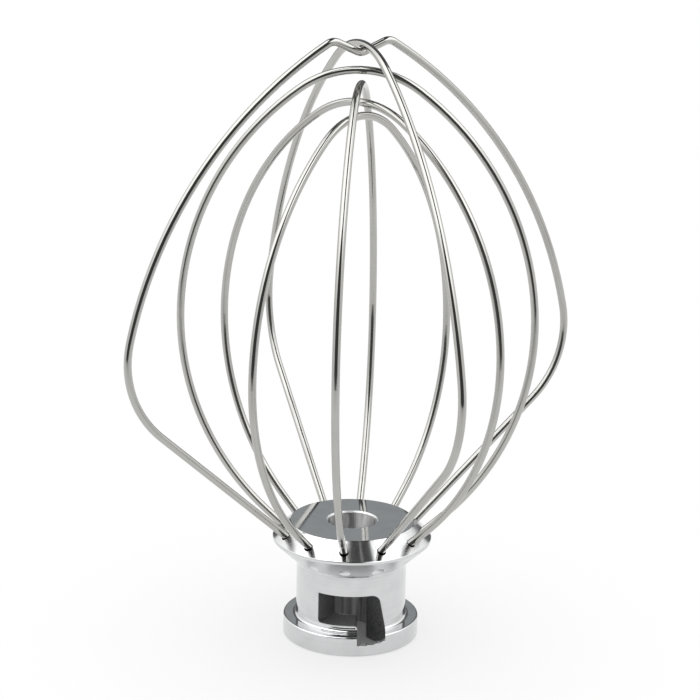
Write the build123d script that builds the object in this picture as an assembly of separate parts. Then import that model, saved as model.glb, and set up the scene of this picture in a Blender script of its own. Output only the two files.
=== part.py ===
from build123d import *
import os
from math import asin, atan2, cos, degrees, radians, sin, tan

# Wire whisk of a stand mixer, standing on its hub's flange. Millimetres, +Z up along the shaft,
# origin in the middle of the hub's bottom face. The pin slot opens towards -Y.

# Hub, turned outside
hub_height = 31.2
flange_radius = 17.9
flange_height = 5.3
flange_edge_round = 0.5
flange_root_fillet = 0.9
neck_radius = 14.5
neck_fillet = 2.5
rim_radius = 20.9
rim_band_height = 0.7
rim_edge_round = 0.3
rim_underside_angle = 43.0
top_face_radius = 16.2
top_edge_round = 0.25
cone_angle = 41.3

# Bore for the mixer's shaft
shaft_diameter = 12.7
bore_clearance = 0.2
bore_chamfer = 0.4

# J-slot for the shaft's cross pin, seen from the front: the pin comes up the channel on the right,
# then the whisk is turned and the pin ends above the ledge on the left
slot_top = 15.2
slot_ledge = 7.0
slot_left = 8.4
slot_right_at_top = 7.3
slot_right_at_flange = 9.15
slot_corner_radius = 2.5
channel_left = 1.8
ledge_corner_radius = 0.8
lip_height = 3.0
lip_thickness = 1.5

# Slanting cheeks of the slot, which start inside the bore on both sides and open towards the front
cheek_start_width = 7.2
cheek_start_depth = 4.3
left_cheek_angle = 36.0
right_cheek_angle = 43.0

# Torn casting edge along the top of the lip, higher towards the right
lip_rise = 0.7
burr_height = 0.3
burr_points = 10
burr_wave_step = 2.4

# Wire and its seats in the hub
wire_diameter = 2.0
wire_hole_clearance = 0.4
wire_hole_top_gap = 0.03
wire_hole_depth = 8.0
wire_circle_radius = 18.7
leg_angle = 42.0
first_loop_azimuth = -6.0

# Punched dents under the rim that pinch the wires in their holes
stake_circle_radius = 16.8
stake_mark_width = 3.4
stake_mark_depth = 0.6

# Two outer loops at right angles: long straight legs, an elbow and a nearly straight side
outer_reach = 61.0
outer_elbow_radius = 26.0
outer_side_radius = 112.0
outer_crown_radius = 27.0
outer_crown_height = 155.6

# The dip of one outer loop, which passes under the crown of the other
dip_gap = 0.1
dip_radius = 3.0
shoulder_radius = 3.0
shoulder_reach = 7.4
shoulder_rise = 2.7

# Four inner loops: short legs, a round belly and a round crown. Each crown hangs a clear gap below the
# wire that crosses above it
inner_leg_length = 5.4
loop_1_reach = 45.6
loop_1_crown_radius = 25.5
loop_1_crown_gap = 2.4
loop_2_reach = 43.4
loop_2_crown_radius = 25.0
loop_2_crown_gap = 1.7
loop_3_reach = 43.8
loop_3_crown_radius = 23.5
loop_3_crown_gap = 2.3
loop_4_reach = 42.0
loop_4_crown_radius = 23.0
loop_4_crown_gap = 1.5

# The loops in turn around the hub, evenly spaced
loop_order = [
    "inner_loop_1",
    "outer_loop_dipped",
    "inner_loop_4",
    "inner_loop_2",
    "outer_loop_arched",
    "inner_loop_3",
]

# Worked out from the sizes above
bore_radius = (shaft_diameter + bore_clearance) / 2
cone_slope = tan(radians(cone_angle))
underside_slope = tan(radians(rim_underside_angle))
rim_top = hub_height - (rim_radius - top_face_radius) * cone_slope
rim_bottom = rim_top - rim_band_height
neck_top = rim_bottom - (rim_radius - neck_radius) * underside_slope
loop_spacing = 180 / len(loop_order)
wire_entry = Vector(wire_circle_radius, hub_height - (wire_circle_radius - top_face_radius) * cone_slope)
leg_direction = Vector(cos(radians(leg_angle)), sin(radians(leg_angle)))
wire_seat = wire_entry - leg_direction * wire_hole_depth
dip_height = outer_crown_height - wire_diameter - dip_gap
loop_1_crown_height = dip_height - wire_diameter - loop_1_crown_gap
loop_2_crown_height = loop_1_crown_height - wire_diameter - loop_2_crown_gap
loop_3_crown_height = loop_2_crown_height - wire_diameter - loop_3_crown_gap
loop_4_crown_height = loop_3_crown_height - wire_diameter - loop_4_crown_gap


def hub_body():
    """The turned casting: flange, neck, rim, cone and top face, before any hole is cut."""
    corners = [
        (0, 0),
        (flange_radius, 0),
        (flange_radius, flange_height),
        (neck_radius, flange_height),
        (neck_radius, neck_top),
        (rim_radius, rim_bottom),
        (rim_radius, rim_top),
        (top_face_radius, hub_height),
        (0, hub_height),
    ]
    rounds = {
        1: flange_edge_round,
        2: flange_edge_round,
        3: flange_root_fillet,
        4: neck_fillet,
        5: rim_edge_round,
        6: rim_edge_round,
        7: top_edge_round,
    }
    profile = make_face(Polyline(*corners, close=True))
    for index, radius in rounds.items():
        corner = profile.vertices().sort_by_distance(corners[index])[0]
        profile = fillet(corner, radius)
    return revolve(Plane.XZ * profile, Axis.Z)


def shaft_bore():
    """Through bore with a small chamfer at both faces."""
    standing = (Align.CENTER, Align.CENTER, Align.MIN)
    bore = Cylinder(bore_radius, hub_height, align=standing)
    chamfer_cone = Cone(bore_radius + bore_chamfer, bore_radius, bore_chamfer, align=standing)
    return bore + chamfer_cone + Pos(0, 0, hub_height) * Rot(180, 0, 0) * chamfer_cone


def slot_cheeks():
    """Wedge between the two cheeks of the slot, seen from above, and taller than the slot."""
    half = cheek_start_width / 2
    run = rim_radius - cheek_start_depth
    outline = [
        (half, -cheek_start_depth),
        (-half, -cheek_start_depth),
        (-half - run * tan(radians(left_cheek_angle)), -rim_radius),
        (half + run * tan(radians(right_cheek_angle)), -rim_radius),
    ]
    return extrude(make_face(Polyline(*outline, close=True)), 2 * slot_top, both=True)


def pin_slot():
    """Window and pin channel cut from the front, and the keyway cut up from the bottom face."""
    channel_width = slot_right_at_flange - channel_left
    lip_edge = []
    for point in range(burr_points + 1):
        share = 1 - point / burr_points
        height = lip_height + lip_rise * share ** 3 + burr_height * sin(burr_wave_step * point) / 2
        lip_edge.append((channel_left + channel_width * share, height))
    outline = [
        (channel_left, slot_ledge),
        (-slot_left, slot_ledge),
        (-slot_left, slot_top),
        (slot_right_at_top, slot_top),
        (slot_right_at_flange, flange_height),
        *lip_edge,
    ]
    face = make_face(Polyline(*outline, close=True))
    top_right = face.vertices().sort_by_distance((slot_right_at_top, slot_top))[0]
    face = fillet(top_right, slot_corner_radius)
    for end in (channel_left, -slot_left):
        ledge_end = face.vertices().sort_by_distance((end, slot_ledge))[0]
        face = fillet(ledge_end, ledge_corner_radius)
    window = extrude(Plane.XZ * face, rim_radius)
    keyway_height = 2 * flange_height
    block = Box(channel_width, rim_radius, keyway_height, align=(Align.MIN, Align.MAX, Align.CENTER))
    inside_lip = Cylinder(flange_radius - lip_thickness, keyway_height)
    return (window + (Pos(channel_left, 0, 0) * block & inside_lip)) & slot_cheeks()


def wire_hole():
    """Blind hole in the cone at azimuth zero, along the leg of a loop, which lies at the top of it."""
    radius = (wire_diameter + wire_hole_clearance) / 2
    drop = wire_hole_clearance / 2 - wire_hole_top_gap
    bottom = Plane.XZ.from_local_coords(wire_seat + Vector(leg_direction.Y, -leg_direction.X) * drop)
    axis = Plane.XZ.from_local_coords(leg_direction)
    standing = (Align.CENTER, Align.CENTER, Align.MIN)
    return Plane(bottom, z_dir=axis) * Cylinder(radius, 2 * wire_hole_depth, align=standing)


def stake_mark():
    """Ball that leaves a shallow round dent in the rim's underside at azimuth zero."""
    ball_radius = ((stake_mark_width / 2) ** 2 + stake_mark_depth ** 2) / (2 * stake_mark_depth)
    height = rim_bottom - (rim_radius - stake_circle_radius) * underside_slope
    standoff = ball_radius - stake_mark_depth
    outwards = standoff * sin(radians(rim_underside_angle))
    downwards = standoff * cos(radians(rim_underside_angle))
    return Pos(stake_circle_radius + outwards, 0, height - downwards) * Sphere(ball_radius)


def hub():
    body = hub_body() - shaft_bore() - pin_slot()
    cuts = []
    for end in range(2 * len(loop_order)):
        turn = Rot(0, 0, first_loop_azimuth + end * loop_spacing)
        cuts.append(turn * wire_hole())
        cuts.append(turn * stake_mark())
    return body - cuts


def arc(center, radius, start, end):
    return CenterArc((center.X, center.Y), radius, start, end - start)


def straight(start, end):
    return Line((start.X, start.Y), (end.X, end.Y))


def heading(start, end):
    """Direction from one point of a loop's plane to another, in degrees."""
    return degrees(atan2(end.Y - start.Y, end.X - start.X))


def bent_wire(flank, crown):
    """Round wire along one flank, the crown and the mirrored flank, in the XZ plane."""
    edges = [*flank, crown]
    for edge in flank:
        edges.append(mirror(edge, about=Plane.YZ).edge())
    path = Plane.XZ * Wire(edges)
    section = Plane(path @ 0, z_dir=path % 0) * Circle(wire_diameter / 2)
    return sweep(section, path=path)


def inner_loop(reach, crown_radius, crown_height):
    """Rounder loop: a short leg, a belly arc up to the widest point, a side arc and the crown."""
    leg_end = wire_entry + leg_direction * inner_leg_length
    belly_radius = (reach - leg_end.X) / (1 - leg_direction.Y)
    belly = Vector(reach - belly_radius, leg_end.Y + belly_radius * leg_direction.X)
    crown = Vector(0, crown_height - crown_radius)
    rise = crown.Y - belly.Y
    side_radius = (reach ** 2 + rise ** 2 - crown_radius ** 2) / (2 * (reach - crown_radius))
    side = Vector(reach - side_radius, belly.Y)
    join = heading(side, crown)
    flank = [
        straight(wire_seat, leg_end),
        arc(belly, belly_radius, leg_angle - 90, 0),
        arc(side, side_radius, 0, join),
    ]
    return bent_wire(flank, arc(crown, crown_radius, join, 180 - join))


def outer_flank(top, top_radius):
    """Long leg, elbow and side arc of an outer loop, up to the arc of top_radius around top."""
    elbow_x = outer_reach - outer_elbow_radius
    leg_rise = (elbow_x - wire_entry.X) * tan(radians(leg_angle))
    elbow = Vector(elbow_x, wire_entry.Y + leg_rise + outer_elbow_radius / leg_direction.X)
    leg_end = elbow + Vector(leg_direction.Y, -leg_direction.X) * outer_elbow_radius
    # The side arc touches the elbow and the top arc, so its centre is at a known distance from each
    span = top - elbow
    to_elbow = outer_side_radius - outer_elbow_radius
    to_top = outer_side_radius - top_radius
    along = (to_elbow ** 2 - to_top ** 2 + span.length ** 2) / (2 * span.length)
    across = (to_elbow ** 2 - along ** 2) ** 0.5
    unit = span.normalized()
    side = elbow + unit * along + Vector(-unit.Y, unit.X) * across
    elbow_join = heading(side, elbow)
    top_join = heading(side, top)
    flank = [
        straight(wire_seat, leg_end),
        arc(elbow, outer_elbow_radius, leg_angle - 90, elbow_join),
        arc(side, outer_side_radius, elbow_join, top_join),
    ]
    return flank, top_join


def outer_loop_arched():
    crown = Vector(0, outer_crown_height - outer_crown_radius)
    flank, join = outer_flank(crown, outer_crown_radius)
    return bent_wire(flank, arc(crown, outer_crown_radius, join, 180 - join))


def outer_loop_dipped():
    """Outer loop with two shoulders and a dip between them, where the other outer loop crosses."""
    shoulder = Vector(shoulder_reach, dip_height + shoulder_rise - shoulder_radius)
    dip = Vector(0, dip_height + dip_radius)
    flank, join = outer_flank(shoulder, shoulder_radius)
    # Straight run from the shoulder down into the dip, touching both arcs
    spread = (dip - shoulder).length
    slope = heading(shoulder, dip) + degrees(asin((shoulder_radius + dip_radius) / spread))
    square = Vector(cos(radians(slope + 90)), sin(radians(slope + 90)))
    flank.append(arc(shoulder, shoulder_radius, join, slope - 90))
    flank.append(straight(shoulder - square * shoulder_radius, dip + square * dip_radius))
    return bent_wire(flank, arc(dip, dip_radius, slope + 90, 450 - slope))


def main():
    os.makedirs("parts", exist_ok=True)
    loops = {
        "outer_loop_dipped": outer_loop_dipped(),
        "outer_loop_arched": outer_loop_arched(),
        "inner_loop_1": inner_loop(loop_1_reach, loop_1_crown_radius, loop_1_crown_height),
        "inner_loop_2": inner_loop(loop_2_reach, loop_2_crown_radius, loop_2_crown_height),
        "inner_loop_3": inner_loop(loop_3_reach, loop_3_crown_radius, loop_3_crown_height),
        "inner_loop_4": inner_loop(loop_4_reach, loop_4_crown_radius, loop_4_crown_height),
    }
    export_step(hub(), "parts/hub.step")
    for place, name in enumerate(loop_order):
        turn = Rot(0, 0, first_loop_azimuth + place * loop_spacing)
        export_step(turn * loops[name], f"parts/{name}.step")


main()
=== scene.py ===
import bpy
import bmesh
from math import cos, pi, radians, sin
from mathutils import Matrix, Vector


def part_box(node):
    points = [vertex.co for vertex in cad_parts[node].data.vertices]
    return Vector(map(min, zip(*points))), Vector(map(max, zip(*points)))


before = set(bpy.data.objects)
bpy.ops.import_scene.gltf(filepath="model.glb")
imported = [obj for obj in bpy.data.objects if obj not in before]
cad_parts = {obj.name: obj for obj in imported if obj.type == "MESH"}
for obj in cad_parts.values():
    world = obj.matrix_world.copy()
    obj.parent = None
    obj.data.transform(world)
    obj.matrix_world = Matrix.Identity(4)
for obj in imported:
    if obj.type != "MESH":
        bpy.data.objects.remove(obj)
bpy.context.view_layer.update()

# The camera stands half a metre in front of the whisk, a little above its crown, and looks down on it
# through a long lens, so that the top of the hub shows as a flat ellipse.
camera_place = Vector((0, -0.504, 0.2131))
camera_down = radians(15.087)
camera_turn = radians(0.161)
camera_roll = radians(1.06)
sensor_width = 36
lens_length = 104.54

camera_data = bpy.data.cameras.new("camera")
camera_data.sensor_width = sensor_width
camera_data.lens = lens_length
camera = bpy.data.objects.new("camera", camera_data)
bpy.context.scene.collection.objects.link(camera)
aim = Matrix.Rotation(camera_turn, 4, "Z") @ Matrix.Rotation(pi / 2 - camera_down, 4, "X")
camera.matrix_world = Matrix.Translation(camera_place) @ aim @ Matrix.Rotation(camera_roll, 4, "Z")
bpy.context.scene.camera = camera
bpy.context.scene.view_settings.view_transform = "Standard"


# The hub is one aluminium casting, turned and polished all over its outside, with painted light making it
# lighter under the rim. The bore is reamed, with fine rings and faint streaks that also hold painted
# reflection bands and painted shade, its chamfer is left as cut, and the pin's slot keeps its cast skin,
# with painted shade that makes it dark grey and darker towards the top.
class Value:
    """One output in a material's nodes. Arithmetic on values adds Math nodes."""

    def __init__(self, tree, socket=None):
        self.tree = tree
        self.socket = socket

    def node(self, kind, settings, sockets, output=0):
        """A new node of this kind, with its settings set first and then its sockets."""
        made = self.tree.nodes.new(kind)
        for name, setting in settings.items():
            setattr(made, name, setting)
        for name, value in sockets.items():
            if isinstance(value, Value):
                self.tree.links.new(value.socket, made.inputs[name])
            else:
                made.inputs[name].default_value = value
        return Value(self.tree, made.outputs[output] if made.outputs else None)

    def math(self, operation, *others):
        return self.node("ShaderNodeMath", {"operation": operation}, dict(enumerate((self, *others))))

    def __add__(self, other):
        return self.math("ADD", other)

    def __sub__(self, other):
        return self.math("SUBTRACT", other)

    def __rsub__(self, other):
        return self.math("MULTIPLY_ADD", -1, other)

    def __mul__(self, other):
        return self.math("MULTIPLY", other)

    __radd__ = __add__
    __rmul__ = __mul__

    def rise(self, low, high):
        """0 below low, 1 above high and a smooth step between them."""
        limits = {"Value": self, "From Min": low, "From Max": high}
        return self.node("ShaderNodeMapRange", {"interpolation_type": "SMOOTHSTEP"}, limits)

    def between(self, low, high, edge):
        """1 from low to high, and 0 outside, with soft edges of the given width."""
        return self.rise(low - edge, low) * (1 - self.rise(high, high + edge))


def new_material(name):
    """An empty material, and the value that its nodes start from."""
    material = bpy.data.materials.new(name)
    material.use_nodes = True
    material.node_tree.nodes.clear()
    return material, Value(material.node_tree)


def place_in_mm(start):
    """The three coordinates of a point of the piece, in millimetres."""
    place = start.node("ShaderNodeTexCoord", {}, {}, "Object")
    return [start.node("ShaderNodeSeparateXYZ", {}, {"Vector": place}, axis) * 1000 for axis in "XYZ"]


def noise(start, x, y, z, detail):
    """Noise from 0 to 1 at the point that the three values give."""
    point = start.node("ShaderNodeCombineXYZ", {}, {"X": x, "Y": y, "Z": z})
    return start.node("ShaderNodeTexNoise", {}, {"Vector": point, "Scale": 1.0, "Detail": detail})


def blend(start, share, low, high):
    """Colour low where share is 0, and colour high where it is 1."""
    return start.node("ShaderNodeMix", {"data_type": "RGBA"}, {0: share, 6: low, 7: high}, 2)


def metal(start, colour, roughness, grain, grain_depth):
    """Bare metal with a fine grain, its depth in metres."""
    normal = start.node("ShaderNodeBump", {}, {"Height": grain, "Strength": 1.0, "Distance": grain_depth})
    finish = {"Base Color": colour, "Metallic": 1.0, "Roughness": roughness, "Normal": normal}
    return start.node("ShaderNodeBsdfPrincipled", {}, finish)


# Sizes in millimetres. The skin is how far the outer finish reaches in at the edges of the slot.
hub_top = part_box("hub")[1].z * 1000
flange_height = 5.3
flange_radius = 17.9
fillet_height = 1
neck_radius = 14.5
underside_bottom = 20.0
rim_bottom = 26.4
slot_top = 15.2
# Painted shade: between these heights the slot's cast colour darkens towards its top.
slot_shade_heights = (4, 10)
bore_radius = 6.45
bore_chamfer = 0.4
lip_top = 4.0
lip_inside = 16.4
cone_dull_from = (7, 12)
cone_dull_to = (17, 18.5)
skin = 0.3

polished_colour = (0.68, 0.685, 0.69, 1)
clouded_colour = (0.6, 0.605, 0.61, 1)
# Painted light: the underside of the rim gets a lighter colour than the polish, to lift the shade it
# mirrors.
under_rim_painted_light_colour = (0.8, 0.805, 0.81, 1)
bored_colour = (0.85, 0.85, 0.85, 1)
# Painted reflection and painted shade: the dark bands of the bore stand for what it mirrors and for its
# shade.
dark_streak_and_painted_reflection_colour = (0.5, 0.5, 0.5, 1)
# Painted shade: the slot's cast skin is coloured dark grey, darker than cast aluminium, for the shade inside
# it.
cast_skin_and_shade_colour = (0.21, 0.21, 0.215, 1)
worn_cast_and_shade_colour = (0.42, 0.42, 0.425, 1)
torn_colour = (0.85, 0.86, 0.87, 1)

hub_material, hub = new_material("polished_aluminium")
x, y, z = place_in_mm(hub)
radius = (x * x + y * y).math("SQRT")
turn = y.math("ARCTAN2", x)
aside = x.math("ABSOLUTE")

# Where each finish lies: the bore and its chamfer, the cast slot behind the outer skin, the torn edge of the
# lip in front of it, and the faces that are turned but not fully polished
above_bore = z.rise(hub_top - bore_chamfer - skin / 3, hub_top - bore_chamfer)
in_bore = (1 - radius.rise(bore_radius + skin / 2, bore_radius + skin)) * (1 - above_bore)
chamfer_radius = bore_radius + bore_chamfer
on_chamfer = (1 - radius.rise(chamfer_radius - skin / 10, chamfer_radius)) * above_bore
in_flange = 1 - z.rise(flange_height - skin, flange_height)
skin_radius = neck_radius - skin + in_flange * (flange_radius - neck_radius)
behind_skin = (skin_radius - radius).rise(0, skin / 2)
inside_skin = behind_skin * z.between(skin / 3, slot_top, skin / 3) * (1 - in_bore)
torn = inside_skin * radius.rise(lip_inside, lip_inside + skin / 2) * (1 - z.rise(lip_top, lip_top + skin))
outside_neck = radius.rise(neck_radius + skin, neck_radius + 2 * skin)
under_rim = outside_neck * z.between(underside_bottom, rim_bottom, skin)
on_flange = outside_neck * z.between(flange_height - skin / 3, flange_height + fillet_height, skin / 3)
on_cone = outside_neck * z.between(rim_bottom + skin, hub_top - skin, skin / 2)
at_sides = aside.rise(*cone_dull_from) * (1 - aside.rise(*cone_dull_to))

# Turning marks run round the hub, wiping clouds the polish, the reamer leaves streaks along the bore, which
# also carry the bore's painted dark and light reflection bands, and the cast skin is pitted
turning_per_mm = 2.5
turning_per_radian = 0.4
clouds_per_mm = 0.2
streaks_per_radian = 4
streaks_per_mm = 0.03
pits_per_mm = 2.6
turning = noise(hub, radius * turning_per_mm, z * turning_per_mm, turn * turning_per_radian, detail=2.0)
clouds = noise(hub, x * clouds_per_mm, y * clouds_per_mm, z * clouds_per_mm, detail=3.0)
streaks_and_painted_reflections = noise(hub, turn * streaks_per_radian, z * streaks_per_mm, 0.0, detail=2.0)
casting = noise(hub, x * pits_per_mm, y * pits_per_mm, z * pits_per_mm, detail=5.0)

# Each range is the part of its noise over which one colour or finish goes over to the other
cloud_range = (0.35, 0.75)
cloud_share = 0.6
turning_range = (0.4, 0.7)
turning_share = 0.2
score_range = (0.42, 0.58)
pit_range = (0.35, 0.7)
top_shade_loss = 0.5
tear_range = (0.48, 0.58)
torn_shine = 0.3
clouded = clouds.rise(*cloud_range) * cloud_share + turning.rise(*turning_range) * turning_share
outside = blend(hub, clouded, polished_colour, clouded_colour)
# Painted light: the underside of the rim is blended to its lighter colour here.
outside = blend(hub, under_rim, outside, under_rim_painted_light_colour)
# The bore's colour is partly reamer streaks and partly painted reflection bands and painted shade.
bore = blend(hub, streaks_and_painted_reflections.rise(*score_range), dark_streak_and_painted_reflection_colour, bored_colour)
# Painted shade: the pale pits thin out towards the top of the slot, so it darkens upwards.
worn_and_painted_shade = casting.rise(*pit_range) * (1 - z.rise(*slot_shade_heights) * top_shade_loss)
cast = blend(hub, worn_and_painted_shade, cast_skin_and_shade_colour, worn_cast_and_shade_colour)
colour = blend(hub, inside_skin * (1 - torn * torn_shine), outside, cast)
colour = blend(hub, torn * casting.rise(*tear_range), colour, torn_colour)

polished_roughness = 0.06
haze_range = (0.4, 0.7)
haze_roughness = 0.02
turning_roughness = 0.02
rim_roughness = 0.26
flange_roughness = 0.06
cone_roughness = 0.04
cone_side_roughness = 0.12
chamfer_roughness = 0.32
cast_roughness = 0.5
pit_roughness = 0.2
hazy = polished_roughness + clouds.rise(*haze_range) * haze_roughness + turning * turning_roughness
dull_edges = under_rim * rim_roughness + on_flange * flange_roughness + on_chamfer * chamfer_roughness
outside_roughness = hazy + dull_edges + on_cone * (cone_roughness + at_sides * cone_side_roughness)
slot_roughness = cast_roughness + casting * pit_roughness
roughness = outside_roughness + inside_skin * (slot_roughness - outside_roughness)

turning_height = 0.015
pit_depth = 0.00006
grain = turning * turning_height + inside_skin * casting
finished = metal(hub, colour, roughness, grain, pit_depth)

# The bore's rings spread what it mirrors up and down, so the highlight is turned by a quarter
bored_roughness = 0.35
streak_roughness = 0.06
quarter_turn = 0.25
bored_finish = {
    "Base Color": bore,
    "Metallic": 1.0,
    "Roughness": bored_roughness + streaks_and_painted_reflections * streak_roughness,
    "Anisotropic": 1.0,
    "Anisotropic Rotation": quarter_turn,
}
bored = hub.node("ShaderNodeBsdfPrincipled", {}, bored_finish)
surface = hub.node("ShaderNodeMixShader", {}, {0: in_bore, 1: finished, 2: bored})
hub.node("ShaderNodeOutputMaterial", {}, {"Surface": surface})
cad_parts["hub"].material_slots[0].material = hub_material

# The six loops are drawn stainless wire, polished bright, bent cold and pinched into holes in the hub. The
# drawing die leaves faint lines along the wire, so they follow the plane that each loop lies in.
loop_azimuths = {
    "inner_loop_1": -6,
    "outer_loop_dipped": 24,
    "inner_loop_4": 54,
    "inner_loop_2": 84,
    "outer_loop_arched": 114,
    "inner_loop_3": 144,
}
bright_steel = (0.475, 0.472, 0.454, 1)
dull_steel = (0.415, 0.412, 0.394, 1)
lines_per_mm = 2.4
line_run_per_mm = 0.02
line_share = 0.5
line_roughness = 0.03
line_depth = 0.000005
smears_per_mm = 0.12
smear_share = 0.4
smear_roughness = 0.05
dull_range = (0.4, 0.7)
steel_roughness = 0.05

for name, azimuth in loop_azimuths.items():
    wire_material, wire = new_material("drawn_steel_" + name)
    x, y, z = place_in_mm(wire)
    across = y * cos(radians(azimuth)) - x * sin(radians(azimuth))
    drawing = noise(wire, across * lines_per_mm, z * line_run_per_mm, azimuth, detail=2.0)
    handling = noise(wire, x * smears_per_mm, y * smears_per_mm, z * smears_per_mm, detail=3.0)
    dulled = drawing.rise(*dull_range) * line_share + handling.rise(*dull_range) * smear_share
    steel_colour = blend(wire, dulled, bright_steel, dull_steel)
    roughness = steel_roughness + drawing * line_roughness + handling * smear_roughness
    steel = metal(wire, steel_colour, roughness, drawing, line_depth)
    wire.node("ShaderNodeOutputMaterial", {}, {"Surface": steel})
    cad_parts[name].material_slots[0].material = wire_material

# The whisk stands on a white paper sheet that ends a little way in front of it and runs far back. The sheet
# keeps the hub's soft shadow and is as white as the background further out. The metal mirrors its front as
# shaded, and a painted shadow makes it grey under the hub.
sheet_front = -0.36
sheet_back = 4.0
sheet_half_width = 4.0
sheet_drop = 0.00005
footprint = flange_radius / 1000
footprint_inside = footprint * 0.9
shadow_share = 0.45
shadow_reach = 0.1
shade_front = -0.5
shade_back = 0.02
sheet_colour = (0.95, 0.95, 0.95, 1)
# Painted shadow: the paper under the hub is coloured grey.
painted_shadow_under_hub_colour = (0.6, 0.6, 0.6, 1)
shaded_colour = (0.35, 0.35, 0.35, 1)

sheet_mesh = bpy.data.meshes.new("sheet")
corners = [
    (-sheet_half_width, sheet_front, 0),
    (sheet_half_width, sheet_front, 0),
    (sheet_half_width, sheet_back, 0),
    (-sheet_half_width, sheet_back, 0),
]
sheet_mesh.from_pydata(corners, [], [range(len(corners))])
sheet_piece = bpy.data.objects.new("sheet", sheet_mesh)
sheet_piece.location.z = -sheet_drop
bpy.context.scene.collection.objects.link(sheet_piece)

sheet_material, sheet = new_material("white_sheet")
place = sheet.node("ShaderNodeTexCoord", {}, {}, "Object")
away = sheet.node("ShaderNodeVectorMath", {"operation": "LENGTH"}, {0: place}, "Value")
forward = sheet.node("ShaderNodeSeparateXYZ", {}, {"Vector": place}, "Y")
lit = forward.rise(shade_front, shade_back)
camera_ray, glossy_ray, clear_ray = [
    sheet.node("ShaderNodeLightPath", {}, {}, ray)
    for ray in ("Is Camera Ray", "Is Glossy Ray", "Is Transmission Ray")
]
shown = camera_ray.math("MAXIMUM", glossy_ray.math("MAXIMUM", clear_ray) * lit)
beyond_hub = away.rise(footprint_inside, footprint)
white = beyond_hub * (1 - shadow_share) + away.rise(footprint, shadow_reach) * shadow_share
# Painted shadow: the paper goes over to grey inside the hub's footprint.
paper_with_painted_shadow_colour = blend(sheet, beyond_hub, painted_shadow_under_hub_colour, sheet_colour)
paper_colour = blend(sheet, lit, shaded_colour, paper_with_painted_shadow_colour)
paper_finish = {"Base Color": paper_colour, "Roughness": 1.0, "Specular IOR Level": 0.0}
paper = sheet.node("ShaderNodeBsdfPrincipled", {}, paper_finish)
glow = sheet.node("ShaderNodeEmission", {}, {"Color": (1, 1, 1, 1), "Strength": 1.0})
surface = sheet.node("ShaderNodeMixShader", {}, {0: shown * white, 1: paper, 2: glow})
sheet.node("ShaderNodeOutputMaterial", {}, {"Surface": surface})
sheet_mesh.materials.append(sheet_material)

# Even white light comes from all round. What the metal mirrors is a tent of white cloth: a bright panel high
# on the left and one that starts higher on the right, paler walls below, a dark gap between the panels, a
# dark opening for the camera, and a dark back wall with a grey card.
world = bpy.data.worlds.new("studio")
bpy.context.scene.world = world
world.use_nodes = True
world.node_tree.nodes["Background"].inputs["Color"].default_value = (1, 1, 1, 1)
world.node_tree.nodes["Background"].inputs["Strength"].default_value = 1.0

tent_radius = 3.0
tent_height = 0.09
tent_divisions = 5
wall_colour = (0.98, 0.98, 0.97, 1)
panel_colour = (2.25, 2.25, 2.25, 1)
gap_colour = (0.07, 0.07, 0.07, 1)
back_colour = (0.14, 0.14, 0.145, 1)
card_colour = (0.335, 0.355, 0.362, 1)

# Places on the tent run from -1 to 1: across to the right, back from the camera, and up
left_panel_bottom = 0.08
right_panel_bottom = 0.2
panel_top = 0.66
panel_change = (-0.3, 0.3)
back_panel_share = 0.42
back_panel_range = (0, 0.5)
opening_edge = (-0.78, -0.66)
gap_middle = 0.13
gap_half_width = 0.215
gap_shift = 0.85
gap_shift_range = (0, 0.4)
back_half_width = 0.55
back_range = (0.3, 0.8)
card_half_width = 0.09
card_bottom = 0.29
card_top = 0.42
edge = 0.04

tent_mesh = bpy.data.meshes.new("tent")
tent_form = bmesh.new()
bmesh.ops.create_icosphere(tent_form, subdivisions=tent_divisions, radius=tent_radius)
tent_form.to_mesh(tent_mesh)
tent_form.free()
tent_piece = bpy.data.objects.new("tent", tent_mesh)
tent_piece.location.z = tent_height
bpy.context.scene.collection.objects.link(tent_piece)
tent_piece.visible_camera = False
tent_piece.visible_diffuse = False
tent_piece.visible_shadow = False

tent_material, tent = new_material("light_tent")
tent_material.cycles.emission_sampling = "NONE"
across, back, up = [side * (0.001 / tent_radius) for side in place_in_mm(tent)]
on_back = back.rise(*back_range)
middle = gap_middle * (1 - back.rise(*gap_shift_range) * gap_shift)
half_gap = gap_half_width + (back_half_width - gap_half_width) * on_back
beside_gap = ((across - middle).math("ABSOLUTE") - half_gap).rise(-edge, edge)
behind_opening = back.rise(*opening_edge)
panel_bottom = left_panel_bottom + (right_panel_bottom - left_panel_bottom) * across.rise(*panel_change)
panel_fade = 1 - (1 - back_panel_share) * back.rise(*back_panel_range)
panels = blend(tent, up.rise(panel_bottom, panel_top) * panel_fade, wall_colour, panel_colour)
card = across.between(-card_half_width, card_half_width, edge) * up.between(card_bottom, card_top, edge)
back_wall = blend(tent, card, back_colour, card_colour)
dark = blend(tent, on_back, gap_colour, back_wall)
light = blend(tent, beside_gap * behind_opening, dark, panels)
tent_finish = {
    "Base Color": (0, 0, 0, 1),
    "Specular IOR Level": 0.0,
    "Emission Color": light,
    "Emission Strength": 1.0,
}
cloth = tent.node("ShaderNodeBsdfPrincipled", {}, tent_finish)
tent.node("ShaderNodeOutputMaterial", {}, {"Surface": cloth})
tent_mesh.materials.append(tent_material)
